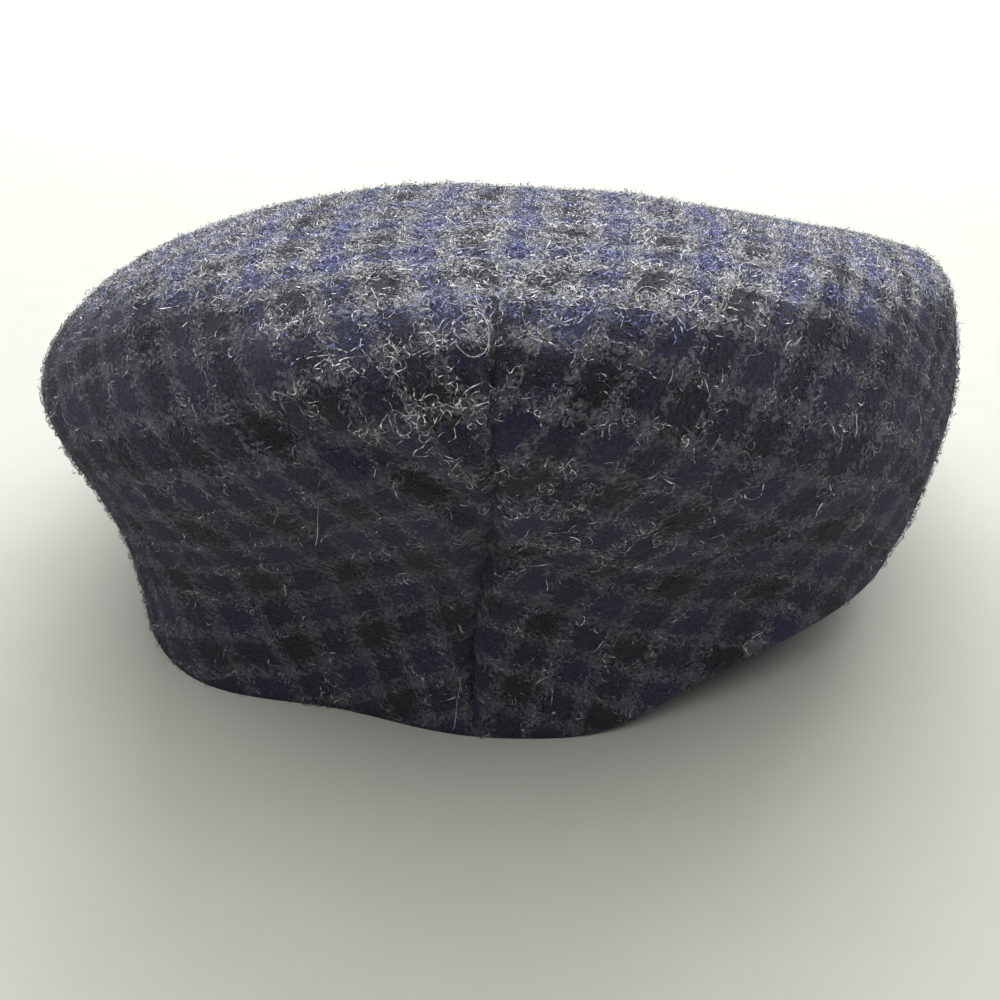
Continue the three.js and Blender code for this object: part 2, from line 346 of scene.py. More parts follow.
class Crown:
    """The crown as a ring of columns, from the seam round the left to the front and back on the right.

    Each half has cloth coordinates of its own, because the two meet at the seam at different threads.
    """

    def __init__(self):
        self.side = np.concatenate([SIDE_ANGLES, np.linspace(SIDE_ANGLES[-1], 180, SIDE_STEPS + 1)[1:]])
        half = len(self.side) - 1
        self.angles = np.concatenate([self.side, -self.side[-2:0:-1]])
        ring = len(self.angles)
        self.columns = {1: np.arange(half + 1), -1: -np.arange(half + 1) % ring}

        outer_shares = np.linspace(0, 1, OUTER_STEPS + 1)
        inner_shares = np.linspace(0, 1, INNER_STEPS + 1)
        outside, _, total = crown_profiles(self.angles, outer_shares)
        self.total = total
        _, inside, _ = crown_profiles(self.angles, inner_shares)
        column = self.angles[:, None]
        outer = place(column, outside[..., 0], outside[..., 1], lean_of(outside))
        self.inner = place(column, inside[..., 0], inside[..., 1], lean_of(inside))

        up = total[:, None] * outer_shares
        across = np.radians(np.abs(column)) * outside[..., 0]
        relief = slack(outer) + seam_relief(across, up, SEAM_LENGTH)
        folds = fold(column, up, LEFT_FOLD, LEFT_SAG) + fold(column, up, RIGHT_FOLD, RIGHT_SAG)
        self.rolls = np.maximum(folds, 0)
        relief += folds
        relief[:, -1] = relief[0, -1]
        held = smoothstep(up, 0, RIM_HELD)
        self.outer = outer + grid_normals(outer) * (relief * held)[..., None]
        self.outer[..., 2] = np.maximum(self.outer[..., 2], 0)
        self.normals = grid_normals(self.outer)
        self.cloth = {}
        self.cloth_inner = {}
        for sign, columns in self.columns.items():
            for store, profiles, shares in (
                (self.cloth, outside, outer_shares),
                (self.cloth_inner, inside, inner_shares),
            ):
                rho = total[columns, None] * (1 - shares)
                alpha = cloth_coordinates(self.side, rho, profiles[columns][..., 0])
                store[sign] = cloth_point(rho, sign * alpha, self.side[:, None])

    def mesh(self, name):
        """The whole crown as one closed mesh, with its cloth coordinates as a UV map."""
        hem = hem_points(self.outer[:, 0], self.inner[:, 0])
        rows = [self.outer[:, i] for i in range(OUTER_STEPS - 1, -1, -1)]
        rows += hem + [self.inner[:, i] for i in range(INNER_STEPS)]
        points = np.stack(rows, axis=1)
        ring, depth = points.shape[:2]
        top, under = ring * depth, ring * depth + 1
        vertices = np.concatenate([points.reshape(-1, 3), self.outer[:1, -1], self.inner[:1, -1]])

        faces, corners = [], []
        for sign, columns in self.columns.items():
            outer_cloth, inner_cloth = self.cloth[sign], self.cloth_inner[sign]
            cloth = [outer_cloth[:, i] for i in range(OUTER_STEPS - 1, -1, -1)]
            cloth += [outer_cloth[:, 0]] * len(hem) + [inner_cloth[:, i] for i in range(INNER_STEPS)]
            cloth = np.stack(cloth, axis=1)
            for k in range(len(columns) - 1):
                a, b = columns[k] * depth, columns[k + 1] * depth
                for i in range(depth - 1):
                    quad = [a + i, a + i + 1, b + i + 1, b + i]
                    spots = [cloth[k, i], cloth[k, i + 1], cloth[k + 1, i + 1], cloth[k + 1, i]]
                    faces.append(quad[::-sign])
                    corners += spots[::-sign]
                top_spots = [outer_cloth[k, -1], cloth[k, 0], cloth[k + 1, 0]]
                under_spots = [inner_cloth[k, -1], cloth[k + 1, -1], cloth[k, -1]]
                for triangle, spots in (
                    ([top, a, b], top_spots),
                    ([under, b + depth - 1, a + depth - 1], under_spots),
                ):
                    faces.append(triangle[::-sign])
                    corners += spots[::-sign]
        return cloth_mesh(name, vertices, faces, corners)


def hem_points(outer_edge, inner_edge):
    """Rows of points round the turned edge, from the outside to the inside."""
    middle = (outer_edge + inner_edge) / 2
    half = (outer_edge - inner_edge) / 2
    drop = np.array([0, 0, -1.0]) * np.linalg.norm(half, axis=-1, keepdims=True) * 0.35
    turns = [math.pi * n / HEM_STEPS for n in range(1, HEM_STEPS)]
    rows = [middle + half * math.cos(t) + drop * math.sin(t) for t in turns]
    return [np.maximum(row, (-np.inf, -np.inf, 0)) for row in rows]


def cloth_mesh(name, vertices, faces, corners):
    """An object from points in millimetres and faces with cloth coordinates at their corners."""
    mesh = bpy.data.meshes.new(name)
    mesh.from_pydata((np.asarray(vertices) * MM).tolist(), [], [list(map(int, f)) for f in faces])
    layer = mesh.uv_layers.new(name=CLOTH_MAP)
    layer.data.foreach_set("uv", np.asarray(corners, dtype=np.float32).ravel())
    mesh.shade_smooth()
    mesh.validate()
    piece = bpy.data.objects.new(name, mesh)
    bpy.context.scene.collection.objects.link(piece)
    return piece


# ---- peak ----------------------------------------------------------------------------------------


def make_peak(name):
    """The peak as rings across it: along the top, round the edge, and back underneath."""
    angles = np.linspace(PEAK_FROM, PEAK_TO, PEAK_COLUMNS_STEPS + 1)
    section = read_sections(PEAK_COLUMNS, PEAK_SECTIONS, angles, False)
    depth = section["outer_r"] - section["inner_r"]
    nose = PEAK_THICK / 2
    flat = (depth - nose) / depth
    along = np.linspace(0, 1, PEAK_ROWS + 1)
    turns = np.radians(np.linspace(90, -90, PEAK_EDGE_STEPS + 1)[1:-1])
    route = [(flat * t, 1.0) for t in along]
    route += [(flat + (1 - flat) * math.cos(turn), math.sin(turn)) for turn in turns]
    route += [(flat * t, -1.0) for t in along[::-1]]
    points = []
    for t, side in route:
        r = section["inner_r"] + t * depth
        z = peak_top(section, t) - nose + side * nose
        points.append(place(angles, r, z))
    rings = np.stack(points, axis=1)
    count, size = rings.shape[:2]
    swell = 0.15 * waves(rings, 14.0, 5)
    rings[..., 2] = np.maximum(rings[..., 2] + swell * smoothstep(rings[..., 2], 1.0, 4.0), 0)

    vertices = rings.reshape(-1, 3)
    cloth = rings[..., :2] - HUB + (COLUMN_START, ROW_START)
    faces, corners = [], []
    for j in range(count - 1):
        for i in range(size):
            k = (i + 1) % size
            quad = [(j, i), (j, k), (j + 1, k), (j + 1, i)]
            faces.append([a * size + b for a, b in quad][::-1])
            corners += [cloth[a, b] for a, b in quad][::-1]
    for j, way in ((0, 1), (count - 1, -1)):
        loop = [(j, i) for i in range(size)][::way]
        faces.append([a * size + b for a, b in loop])
        corners += [cloth[a, b] for a, b in loop]
    return cloth_mesh(name, vertices, faces, corners), rings


# ---- how fibres are made -------------------------------------------------------------------------


def read_grid(grid, column, row):
    """Values of a grid between its points."""
    j = np.clip(column.astype(int), 0, grid.shape[0] - 2)
    i = np.clip(row.astype(int), 0, grid.shape[1] - 2)
    s = np.clip(column - j, 0, 1)[..., None]
    t = np.clip(row - i, 0, 1)[..., None]
    low = grid[j, i] * (1 - s) + grid[j + 1, i] * s
    high = grid[j, i + 1] * (1 - s) + grid[j + 1, i + 1] * s
    return low * (1 - t) + high * t


class Sheet:
    """A grid of points with normals and cloth coordinates, on which fibres grow."""

    def __init__(self, points, normals, cloth):
        self.points, self.normals, self.cloth = points, normals, cloth
        across = points[1:, :-1] - points[:-1, :-1]
        along = points[:-1, 1:] - points[:-1, :-1]
        self.area = np.linalg.norm(np.cross(across, along), axis=-1)
        self.across = np.linalg.norm(across, axis=-1)
        self.along = np.linalg.norm(along, axis=-1)

    def roots(self, rng, count, nap):
        """Random places on the sheet, as columns and rows, more of them where nap is high."""
        weight = self.area * nap[:-1, :-1]
        cells = rng.choice(weight.size, count, p=(weight / weight.sum()).ravel())
        j, i = np.unravel_index(cells, weight.shape)
        return j + rng.random(count), i + rng.random(count)


def curl_over(rng, sheet, column, row, heading, style):
    """Fibres from the given places over the sheet: their middle lines and the way that each one faces."""
    count, steps = len(column), style["steps"]
    length = rng.uniform(*style["length"], count)
    radius = rng.uniform(*style["radius"], count) * rng.choice([-1, 1], count)
    turn = (length / radius / steps)[:, None] * rng.uniform(0.5, 1.5, (count, steps)).cumsum(axis=1)
    heading = heading[:, None] + turn + rng.normal(0, style["wander"], (count, steps)).cumsum(axis=1)
    step = (length / steps)[:, None]
    j0 = np.clip(column.astype(int), 0, sheet.area.shape[0] - 1)
    i0 = np.clip(row.astype(int), 0, sheet.area.shape[1] - 1)
    per_column = np.maximum(sheet.across[j0, i0], 0.05)[:, None]
    per_row = np.maximum(sheet.along[j0, i0], 0.05)[:, None]
    zero = np.zeros((count, 1))
    columns = column[:, None] + np.hstack([zero, (step * np.cos(heading) / per_column).cumsum(axis=1)])
    rows = row[:, None] + np.hstack([zero, (step * np.sin(heading) / per_row).cumsum(axis=1)])
    points = read_grid(sheet.points, columns, rows)
    normals = unit(read_grid(sheet.normals, columns, rows))

    s = np.linspace(0, 1, steps + 1)[None, :]
    lift = rng.uniform(*style["lift"], count)[:, None]
    free = rng.random(count)[:, None] < style["free"]
    rise = np.where(free, s**1.3, np.sin(math.pi * s) ** 0.8) * lift
    loop = np.hstack([zero, np.cumsum(step * np.sin(heading + rng.uniform(0, 6.3, (count, 1))), axis=1)])
    rise = np.maximum(rise + style["heave"] * loop * s, -0.05)
    points = points + normals * rise[..., None]
    points[..., 2] = np.maximum(points[..., 2], FLOOR_CLEAR)
    facing = unit(normals + style["tilt"] * rng.normal(size=(count, 1, 3)))
    return points, facing


def zigzag_mesh(name, parts, material, width):
    """One object from many fibres, each a strip of triangles whose corners lie left and right in turn."""
    rng = np.random.default_rng(len(name))
    vertices, triangles, corners, start = [], [], [], 0
    for lines, facing in parts:
        count, steps = lines.shape[:2]
        sideways = unit(np.cross(np.gradient(lines, axis=1), facing))
        side = np.where(np.arange(steps) % 2, 0.5, -0.5)[None, :, None]
        across = rng.uniform(*width, (count, 1, 1))
        vertices.append((lines + side * sideways * across).reshape(-1, 3))
        base = start + (np.arange(count) * steps)[:, None] + np.arange(steps - 2)[None, :]
        odd = (np.arange(steps - 2) % 2)[None, :]
        triangles.append(np.stack([base + odd, base + 1 - odd, base + 2], axis=-1).reshape(-1, 3))
        own = rng.uniform(0.01, 0.99, (count, 1)) + 0.008 * side[..., 0]
        reach = np.broadcast_to(np.linspace(0, 1, steps), own.shape)
        corners.append(np.stack([own, reach], axis=-1).reshape(-1, 2))
        start += count * steps
    vertices, triangles, corners = (np.concatenate(a) for a in (vertices, triangles, corners))
    mesh = bpy.data.meshes.new(name)
    mesh.vertices.add(len(vertices))
    mesh.vertices.foreach_set("co", (vertices * MM).astype(np.float32).ravel())
    mesh.loops.add(triangles.size)
    mesh.loops.foreach_set("vertex_index", triangles.astype(np.int32).ravel())
    mesh.polygons.add(len(triangles))
    mesh.polygons.foreach_set("loop_start", np.arange(0, triangles.size, 3, dtype=np.int32))
    mesh.polygons.foreach_set("use_smooth", np.ones(len(triangles), dtype=bool))
    mesh.update(calc_edges=True)
    layer = mesh.uv_layers.new(name=FIBRE_MAP)
    layer.data.foreach_set("uv", corners[triangles.ravel()].astype(np.float32).ravel())
    mesh.materials.append(material)
    piece = bpy.data.objects.new(name, mesh)
    bpy.context.scene.collection.objects.link(piece)
    return piece


PALE, BLUE, BLACK = 0, 1, 2
PALE_SHOWS = 0.3  # how often the pale yarn is the upper one where it crosses a dark one


def yarn_at(rng, cloth):
    """The colour of the upper one of the two yarns that cross under each fibre."""
    share = np.stack([cloth[:, 0] / COLUMN_REPEAT, cloth[:, 1] / ROW_REPEAT], axis=-1) % 1
    blue = share < DARK_SHARE
    black = (share >= 0.5) & (share < 0.5 + DARK_SHARE)
    stripe = np.select([blue, black], [BLUE, BLACK], PALE)
    upper = stripe[np.arange(len(cloth)), rng.integers(0, 2, len(cloth))]
    mixed = (stripe == PALE).sum(axis=1) == 1
    return np.where(mixed, np.where(rng.random(len(cloth)) < PALE_SHOWS, PALE, stripe.max(axis=1)), upper)


# ---- materials -----------------------------------------------------------------------------------


class Nodes:
    """Short ways to make and join the nodes of one material."""

    def __init__(self, name):
        self.material = bpy.data.materials.new(name)
        self.material.use_nodes = True
        self.tree = self.material.node_tree
        self.shader = self.tree.nodes["Principled BSDF"]

    def put(self, socket, value):
        if isinstance(value, bpy.types.NodeSocket):
            self.tree.links.new(value, socket)
        else:
            socket.default_value = value

    def math(self, operation, *values):
        node = self.tree.nodes.new("ShaderNodeMath")
        node.operation = operation
        for socket, value in zip(node.inputs, values):
            self.put(socket, value)
        return node.outputs[0]

    def vector(self, operation, *values):
        node = self.tree.nodes.new("ShaderNodeVectorMath")
        node.operation = operation
        for socket, value in zip(node.inputs, values):
            self.put(socket, value)
        return node.outputs[0]

    def dot(self, a, b):
        node = self.tree.nodes.new("ShaderNodeVectorMath")
        node.operation = "DOT_PRODUCT"
        self.put(node.inputs[0], a)
        self.put(node.inputs[1], b)
        return node.outputs["Value"]

    def scaled(self, vector, factor):
        node = self.tree.nodes.new("ShaderNodeVectorMath")
        node.operation = "SCALE"
        self.put(node.inputs[0], vector)
        self.put(node.inputs["Scale"], factor)
        return node.outputs[0]

    def noise(self, place, scale, detail=2.0, rough=0.5, distortion=0.0):
        """A noise node's value and colour. scale is in lumps per unit of place."""
        node = self.tree.nodes.new("ShaderNodeTexNoise")
        self.put(node.inputs["Vector"], place)
        node.inputs["Scale"].default_value = scale
        node.inputs["Detail"].default_value = detail
        node.inputs["Roughness"].default_value = rough
        node.inputs["Distortion"].default_value = distortion
        return node.outputs[0], node.outputs[1]

    def between(self, value, low, high, to_low=0.0, to_high=1.0):
        """value remapped smoothly from low..high to to_low..to_high."""
        node = self.tree.nodes.new("ShaderNodeMapRange")
        node.interpolation_type = "SMOOTHSTEP"
        for socket, v in zip(node.inputs, (value, low, high, to_low, to_high)):
            self.put(socket, v)
        return node.outputs[0]

    def mix(self, factor, a, b):
        node = self.tree.nodes.new("ShaderNodeMix")
        node.data_type = "RGBA"
        self.put(node.inputs[0], factor)
        self.put(node.inputs[6], (*a, 1) if isinstance(a, tuple) else a)
        self.put(node.inputs[7], (*b, 1) if isinstance(b, tuple) else b)
        return node.outputs[2]

    def bump(self, height, distance, strength):
        node = self.tree.nodes.new("ShaderNodeBump")
        self.put(node.inputs["Height"], height)
        node.inputs["Distance"].default_value = distance
        node.inputs["Strength"].default_value = strength
        self.put(self.shader.inputs["Normal"], node.outputs[0])


NAP_LIGHT = (0.75, 0.76, 0.76)
PALE_LIGHT = (0.62, 0.66, 0.72)
PALE_DARK = (0.07, 0.077, 0.1)
BLUE_DEEP = (0.024, 0.026, 0.07)
BLUE_BRIGHT = (0.085, 0.092, 0.25)
BLACK_WOOL = (0.01, 0.011, 0.014)
BLACK_WORN = (0.028, 0.03, 0.036)
WALL_SHADE = 0.3  # painted shade: where the cloth faces away from the light, its yarns are darkened to this share
NAP_SHARE = (0.12, 0.85)  # how much loose fibres cover pale yarns, on the walls and on top
DARK_NAP = 0.2  # how much they cover blue and black yarns, for each share of a pale yarn
STRIPE_EDGE = 0.03  # of a repeat, over which one colour gives way to the next


def wool_check():
    """Gun club check: blue and black stripes on a pale ground both ways, in brushed woollen twill."""
    n = Nodes("wool_check")
    uv = n.tree.nodes.new("ShaderNodeUVMap")
    uv.uv_map = CLOTH_MAP
    flat = uv.outputs[0]
    _, drift = n.noise(flat, 0.16, 2)
    _, ragged = n.noise(flat, 0.75, 3, 0.6)
    drift = n.scaled(n.vector("SUBTRACT", drift, (0.5, 0.5, 0.5)), 2.2)
    ragged = n.scaled(n.vector("SUBTRACT", ragged, (0.5, 0.5, 0.5)), 3.4)
    felted = n.vector("ADD", n.vector("ADD", flat, drift), ragged)
    axes = n.tree.nodes.new("ShaderNodeSeparateXYZ")
    n.put(axes.inputs[0], felted)

    fine, _ = n.noise(felted, 1.6, 3, 0.65)
    shade = n.between(fine, 0.35, 0.65)
    mottled, _ = n.noise(flat, 0.4, 2)
    pale = n.mix(n.math("MULTIPLY", shade, n.between(mottled, 0.35, 0.65, 0.3, 1.0)), PALE_DARK, PALE_LIGHT)
    blue = n.mix(shade, BLUE_DEEP, BLUE_BRIGHT)
    black = n.mix(shade, BLACK_WOOL, BLACK_WORN)

    def stripes(axis, repeat, ground, first, second):
        share = n.math("FRACT", n.math("DIVIDE", axis, repeat))
        for start, colour in ((0.0, first), (0.5, second)):
            end = start + DARK_SHARE
            begins = n.between(share, start, start + STRIPE_EDGE)
            goes_on = n.between(share, end - STRIPE_EDGE, end, 1.0, 0.0)
            ground = n.mix(n.math("MULTIPLY", begins, goes_on), ground, colour)
        return ground

    def both_ways(*colours):
        down = stripes(axes.outputs[0], COLUMN_REPEAT, *colours)
        over = stripes(axes.outputs[1], ROW_REPEAT, *colours)
        return n.mix(n.between(pick, 0.44, 0.56), down, over)

    twill = n.math("SINE", n.math("MULTIPLY", n.math("ADD", axes.outputs[0], axes.outputs[1]), 3.6))
    pick, _ = n.noise(flat, 1.1, 3, 0.6, 0.6)
    pick = n.math("MULTIPLY_ADD", twill, 0.07, pick)
    yarn = both_ways(pale, blue, black)
    downy = both_ways((1.0,) * 3, (DARK_NAP,) * 3, (DARK_NAP,) * 3)

    # Loose fibres: thin curly lines where a swirling noise crosses its middle value, more of them where the
    # cloth faces the lamps, partly painted light.
    # Each layer reads the noise at a place of its own.
    web = None
    for scale, swirl, width in ((0.55, 2.5, 0.022), (0.8, 3.5, 0.028), (1.2, 3.0, 0.035)):
        value, _ = n.noise(n.vector("ADD", flat, (31.7 * scale, 17.3, 0)), scale, 1, 0.4, swirl)
        off = n.math("ABSOLUTE", n.math("SUBTRACT", value, 0.5))
        line = n.between(off, 0.0, width, 1.0, 0.0)
        web = line if web is None else n.math("MAXIMUM", web, line)
    # Partly painted light: pale loose fibres are drawn more densely where the cloth faces the lamps.
    facing = n.dot(n.tree.nodes.new("ShaderNodeNewGeometry").outputs["Normal"], NAP_TOWARDS_LIGHT)
    nap = n.between(facing, *NAP_RISES, *NAP_SHARE)
    # Painted shade: the yarns are darkened where the cloth faces away from the light, on the walls.
    wall_shade = n.between(facing, *NAP_RISES, WALL_SHADE, 1.0)
    loose = n.math("MULTIPLY", n.math("MULTIPLY", web, nap), downy)
    colour = n.mix(loose, n.scaled(yarn, wall_shade), NAP_LIGHT)
    n.put(n.shader.inputs["Base Color"], colour)
    n.shader.inputs["Roughness"].default_value = 1.0
    n.shader.inputs["Specular IOR Level"].default_value = 0.1
    n.shader.inputs["Sheen Weight"].default_value = 0.25
    n.shader.inputs["Sheen Roughness"].default_value = 0.4
    n.shader.inputs["Sheen Tint"].default_value = (0.8, 0.84, 1.0, 1)
    height = n.math("ADD", n.math("MULTIPLY", web, 0.35), n.math("ADD", fine, pick))
    n.bump(height, 0.0009, 0.8)
    return n.material


def fibre_wool(name, dark, light):
    """Single fibres of one yarn, lighter and darker ones, each with painted shade towards its root."""
    n = Nodes(name)
    uv = n.tree.nodes.new("ShaderNodeUVMap")
    uv.uv_map = FIBRE_MAP
    axes = n.tree.nodes.new("ShaderNodeSeparateXYZ")
    n.put(axes.inputs[0], uv.outputs[0])
    value, _ = n.noise(n.vector("MULTIPLY", uv.outputs[0], (60.0, 1.5, 0.0)), 1.0, 1)
    # Painted shade: each fibre darkens towards its root, down among the other fibres.
    tone = n.math("MULTIPLY", n.between(value, 0.3, 0.7), n.between(axes.outputs[1], 0.0, 0.3, 0.6, 1.0))
    n.put(n.shader.inputs["Base Color"], n.mix(tone, dark, light))
    n.shader.inputs["Roughness"].default_value = 0.85
    n.shader.inputs["Specular IOR Level"].default_value = 0.2
    n.shader.inputs["Sheen Weight"].default_value = 0.25
    n.shader.inputs["Sheen Tint"].default_value = (0.8, 0.84, 1.0, 1)
    return n.material


def painted_floor():
    n = Nodes("pale_floor")
    spot = n.tree.nodes.new("ShaderNodeTexCoord").outputs["Object"]
    value, _ = n.noise(spot, 35.0, 3)
    n.put(n.shader.inputs["Base Color"], n.mix(value, (0.41, 0.41, 0.38), (0.45, 0.45, 0.42)))
    n.shader.inputs["Roughness"].default_value = 0.8
    n.shader.inputs["Specular IOR Level"].default_value = 0.25
    return n.material


# ---- the cap -------------------------------------------------------------------------------------

cloth = wool_check()
crown_shape = Crown()
crown = crown_shape.mesh("cap_crown")
crown.data.materials.append(cloth)
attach(crown, "root")
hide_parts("crown")

peak, peak_rings = make_peak("cap_peak")
peak.data.materials.append(cloth)
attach(peak, "root")
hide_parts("peak")

# ---- its fibres ----------------------------------------------------------------------------------

# How long and how curled the fibres of each kind are, and how far they lift off the cloth.
NAP = {"steps": 12, "length": (2.4, 6.0), "radius": (0.35, 2.4), "wander": 0.5, "lift": (0.15, 1.0),
       "heave": 0.12, "free": 0.25, "tilt": 0.45}
SHORT_NAP = {**NAP, "steps": 6, "length": (1.6, 3.6), "radius": (0.5, 2.0), "lift": (0.1, 0.8)}
DOWN = {**NAP, "steps": 7, "length": (1.6, 4.0), "radius": (0.5, 2.0), "lift": (0.7, 1.7), "free": 0.9}
STRAY = {**NAP, "steps": 44, "wander": 0.06, "lift": (0.8, 1.6), "heave": 0.03, "free": 0.5, "tilt": 0.2}
PALE_STRAYS = 0.015  # how often a pale fibre grows in a dark yarn
FIBRE_WIDTH = (0.04, 0.068)
DOWN_WIDTH = (0.035, 0.06)
STRAY_WIDTH = (0.06, 0.09)
TUFT = 4.0  # the width of the tufts that pale fibres gather in
TUFTED = 0.7  # how much they gather: 0 spreads them evenly, 1 leaves gaps
OVER_SEAM = 6  # columns that fibres can reach past the seam, and past the front
SEAM_BARE = (0.6, 2.4)  # beside the seam, where fibres go from few to many
SEAM_HIDDEN = (72, 88)  # up the wall, where fibres begin to cover the seam
FOLD_FUZZ = (2, 18)  # degrees from the seam, where the fibres on the folds run out
PEAK_SHOWN = (0.74, 0.8)  # of the peak's depth, where it comes out from under the crown
TRIES = 6  # places tried for each fibre that is to grow in a yarn of its colour

pale_wool = fibre_wool("wool_fibre_pale", (0.33, 0.34, 0.36), (0.8, 0.8, 0.79))
# Painted shade: a darker copy of the pale fibres, used by the pale fibres on the walls that face away from
# the light.
shaded_pale_wool = fibre_wool("wool_fibre_pale_shaded", (0.05, 0.056, 0.07), (0.27, 0.295, 0.33))
blue_wool = fibre_wool("wool_fibre_blue", (0.13, 0.136, 0.32), (0.3, 0.31, 0.6))
black_wool = fibre_wool("wool_fibre_black", (0.01, 0.011, 0.014), (0.05, 0.053, 0.065))


def half_sheet(sign):
    """Half of the crown, and a little of the other half past each of its edges for fibres to cross to."""
    ring = len(crown_shape.angles)
    half = len(crown_shape.side) - 1
    columns = sign * np.arange(-OVER_SEAM, half + OVER_SEAM + 1) % ring
    cloth = np.pad(crown_shape.cloth[sign], ((OVER_SEAM, OVER_SEAM), (0, 0), (0, 0)), mode="edge")
    return Sheet(crown_shape.outer[columns], crown_shape.normals[columns], cloth)


# tops says how far each place counts as top, facing up towards the lamps: from 0 to 1, and -1 on the strips
# past the sheets' edges.
sheets = [half_sheet(1), half_sheet(-1)]
tops = [smoothstep(sheet.normals @ NAP_TOWARDS_LIGHT, *NAP_RISES) for sheet in sheets]
for top in tops:
    top[:OVER_SEAM] = top[-OVER_SEAM - 1 :] = -1


def open_seam(sheet):
    """1 all over the sheet but in the seam, where few fibres grow up to the ridge."""
    beside = np.linalg.norm(sheet.points - sheet.points[OVER_SEAM], axis=-1)
    reach = np.arange(OUTER_STEPS + 1) / OUTER_STEPS * crown_shape.total[0]
    below = 1 - smoothstep(reach, *SEAM_HIDDEN)
    return 1 - 0.9 * below * (1 - smoothstep(beside, *SEAM_BARE))


def nap_of(on_top, on_walls, tufted=0.0):
    """How densely fibres grow on each sheet. There are none on the strips past its edges."""
    naps = []
    for sheet, top in zip(sheets, tops):
        tufts = 1 + tufted * (2 * smoothstep(waves(sheet.points, TUFT, 21), -1, 1) - 1)
        dense = (on_walls + (on_top - on_walls) * top) * tufts * open_seam(sheet)
        naps.append(np.where(top < 0, 0, dense))
    return naps


def edge_sheet():
    """The top and the edge of the peak, and how densely fibres grow there: none under the crown."""
    rings = peak_rings[:, : PEAK_ROWS + PEAK_EDGE_STEPS // 2 + 1]
    normals = unit(np.cross(np.gradient(rings, axis=0), np.gradient(rings, axis=1)))
    cloth = rings[..., :2] - HUB + (COLUMN_START, ROW_START)
    shown = smoothstep(np.arange(rings.shape[1]) / PEAK_ROWS, *PEAK_SHOWN)
    return Sheet(rings, normals, cloth), np.broadcast_to(shown, rings.shape[:2])


def nap_on_folds():
    """Fibres only where a fold rolls the cloth out, most of them beside the seam."""
    naps = []
    for sign, top in zip((1, -1), tops):
        rolls = crown_shape.rolls[crown_shape.columns[sign]]
        rolls = np.pad(rolls, ((OVER_SEAM, OVER_SEAM), (0, 0)), mode="edge")
        beside = 1 - smoothstep(np.pad(crown_shape.side, OVER_SEAM, mode="edge"), *FOLD_FUZZ)
        naps.append(np.where(top < 0, 0, rolls**0.25 * beside[:, None]))
    return naps


def nap_fibres(rng, colour, count, style, naps, on=sheets):
    """Fibres of one colour on the given sheets, rooted in yarns of that colour apart from PALE_STRAYS."""
    parts = []
    weights = [(sheet.area * nap[:-1, :-1]).sum() for sheet, nap in zip(on, naps)]
    for sheet, nap, weight in zip(on, naps, weights):
        wanted = int(count * weight / sum(weights))
        column, row = sheet.roots(rng, TRIES * wanted, nap)
        fits = yarn_at(rng, read_grid(sheet.cloth, column, row)) == colour
        if colour == PALE:
            fits |= rng.random(len(fits)) < PALE_STRAYS
        column, row = column[fits][:wanted], row[fits][:wanted]
        heading = rng.uniform(0, 2 * math.pi, len(column))
        parts.append(curl_over(rng, sheet, column, row, heading, style))
    return parts


def add_fibres(name, parts, material, width=FIBRE_WIDTH):
    piece = zigzag_mesh(name, parts, material, width)
    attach(piece, "root")


rng = np.random.default_rng(11)
# Fibres grow densest where the cloth faces the lamps: partly the brushed top, partly painted light.
top_nap, wall_nap = nap_of(1, 0.015, TUFTED), nap_of(0.1, 1, TUFTED)
for number in (1, 2):
    add_fibres(f"fuzz_top_pale_{number}", nap_fibres(rng, PALE, 18000, NAP, top_nap), pale_wool)
# Pale fibres on the walls take the darker copy of the pale fibre material: painted shade.
add_fibres("fuzz_wall_pale", nap_fibres(rng, PALE, 17000, SHORT_NAP, wall_nap), shaded_pale_wool)
add_fibres("fuzz_folds", nap_fibres(rng, PALE, 280, NAP, nap_on_folds()), pale_wool)
add_fibres("fuzz_blue", nap_fibres(rng, BLUE, 31000, SHORT_NAP, nap_of(1, 0)), blue_wool)
add_fibres("fuzz_black", nap_fibres(rng, BLACK, 20000, SHORT_NAP, nap_of(1, 0.5)), black_wool)
add_fibres("fuzz_down", nap_fibres(rng, PALE, 12000, DOWN, nap_of(1, 0.06)), pale_wool, DOWN_WIDTH)

peak_sheet, peak_nap = edge_sheet()
for name, colour, count, material in (
    ("fuzz_peak_pale", PALE, 5000, pale_wool),
    ("fuzz_peak_blue", BLUE, 2800, blue_wool),
    ("fuzz_peak_black", BLACK, 1900, black_wool),
):
    add_fibres(name, nap_fibres(rng, colour, count, SHORT_NAP, [peak_nap], [peak_sheet]), material)

# Long stray hairs. side is 1 on the wearer's left of the seam and -1 on the right, angle is in degrees from
# it, reach is up the wall from the rim, and heading is 0 away from the seam and 90 degrees up the wall.
STRAY_COLUMNS = "side angle reach heading length radius".split()
STRAYS = [
    [1, 1.2, 13, -86, 12, 60],
    [1, 14, 57, -70, 12, 30],
    [-1, 28, 96, 10, 26, 40],
    [-1, 12, 91, 60, 16, 2.4],
    [1, 3, 88, 100, 20, 3.2],
    [-1, 2, 110, 120, 12, 2.0],
    [-1, 44, 55, 40, 12, 3.0],
    [-1, 61, 40, 20, 10, 4.0],
    [-1, 22, 84, 20, 14, 3.5],
    [1, 24, 86, 150, 8, 2.4],
    [1, 70, 60, 80, 14, 6],
    [-1, 100, 90, 30, 16, 5],
    [1, 120, 100, 200, 14, 4],
    [-1, 150, 110, 75, 15, 7],
]


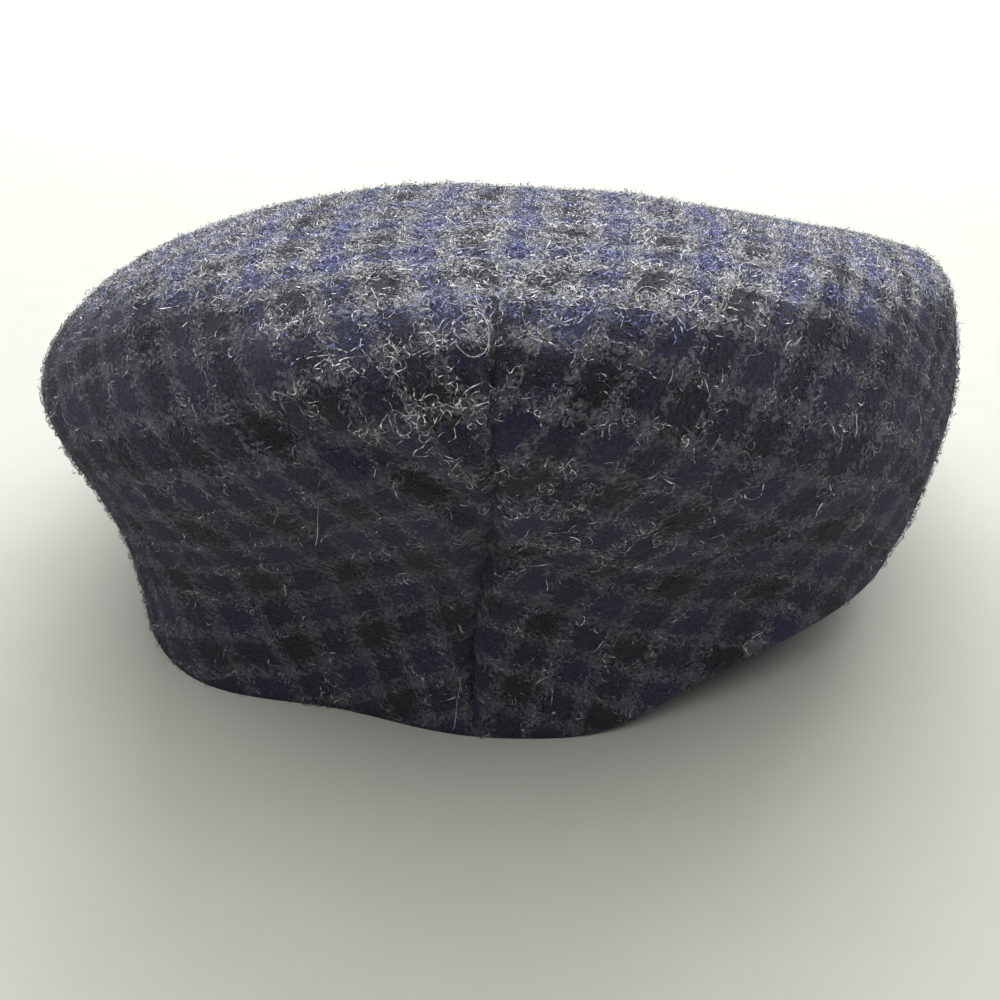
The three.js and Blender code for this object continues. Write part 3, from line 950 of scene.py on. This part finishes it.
def stray_hairs(rng):
    """One fibre for each row of the table."""
    parts = []
    for values in STRAYS:
        stray = dict(zip(STRAY_COLUMNS, values))
        side = stray["side"]
        sheet = sheets[0] if side == 1 else sheets[1]
        column = np.interp(stray["angle"], crown_shape.side, OVER_SEAM + np.arange(len(crown_shape.side)))
        total = crown_shape.total[crown_shape.columns[side][int(column) - OVER_SEAM]]
        row = stray["reach"] / total * OUTER_STEPS
        style = {**STRAY, "length": (stray["length"],) * 2, "radius": (stray["radius"],) * 2}
        heading = np.radians([stray["heading"]])
        parts.append(curl_over(rng, sheet, np.array([column]), np.array([row]), heading, style))
    return parts


add_fibres("stray_hairs", stray_hairs(rng), pale_wool, STRAY_WIDTH)

# ---- stage ---------------------------------------------------------------------------------------

FLOOR_REACH = 12.0
bpy.ops.mesh.primitive_plane_add(size=2 * FLOOR_REACH)
floor = bpy.context.object
floor.name = "floor"
floor.data.materials.append(painted_floor())


def sun_light(name, azimuth, elevation, spread, strength, colour):
    """Even light from one side of the sky. azimuth is 0 from the cap's front and turns to its left."""
    data = bpy.data.lights.new(name, "SUN")
    data.angle, data.energy, data.color = math.radians(spread), strength, colour
    light = bpy.data.objects.new(name, data)
    a, e = math.radians(azimuth), math.radians(elevation)
    source = Vector((math.sin(a) * math.cos(e), -math.cos(a) * math.cos(e), math.sin(e)))
    light.rotation_euler = source.to_track_quat("Z", "Y").to_euler()
    bpy.context.scene.collection.objects.link(light)


def panel_light(name, spot, size, power, colour):
    """A soft panel that shines on the cap."""
    data = bpy.data.lights.new(name, "AREA")
    data.shape, data.size, data.size_y = "RECTANGLE", *size
    data.energy, data.color = power, colour
    light = bpy.data.objects.new(name, data)
    light.location = spot
    light.rotation_euler = Vector(spot).to_track_quat("Z", "Y").to_euler()
    bpy.context.scene.collection.objects.link(light)


sun_light("sky", -3, 74, 105, 3.95, (1.0, 0.985, 0.95))
panel_light("window", (-0.07, -3.4, 2.7), (5.2, 2.6), 260.0, (0.97, 0.99, 1.0))

world = bpy.data.worlds.new("pale_room")
bpy.context.scene.world = world
world.use_nodes = True
background = world.node_tree.nodes["Background"]
background.inputs["Color"].default_value = (0.86, 0.9, 0.88, 1)
background.inputs["Strength"].default_value = 0.28

camera_data = bpy.data.cameras.new("camera")
camera_data.lens, camera_data.sensor_width = 36.0, 36.0
camera_data.clip_start = 0.01
camera = bpy.data.objects.new("camera", camera_data)
camera.location = (-0.0214, 0.2607, 0.127)
CAMERA_AHEAD = Vector((0.0919, -0.8740, -0.4772))
camera.rotation_euler = CAMERA_AHEAD.to_track_quat("-Z", "Y").to_euler()
bpy.context.scene.collection.objects.link(camera)
bpy.context.scene.camera = camera
bpy.context.scene.view_settings.view_transform = "Standard"
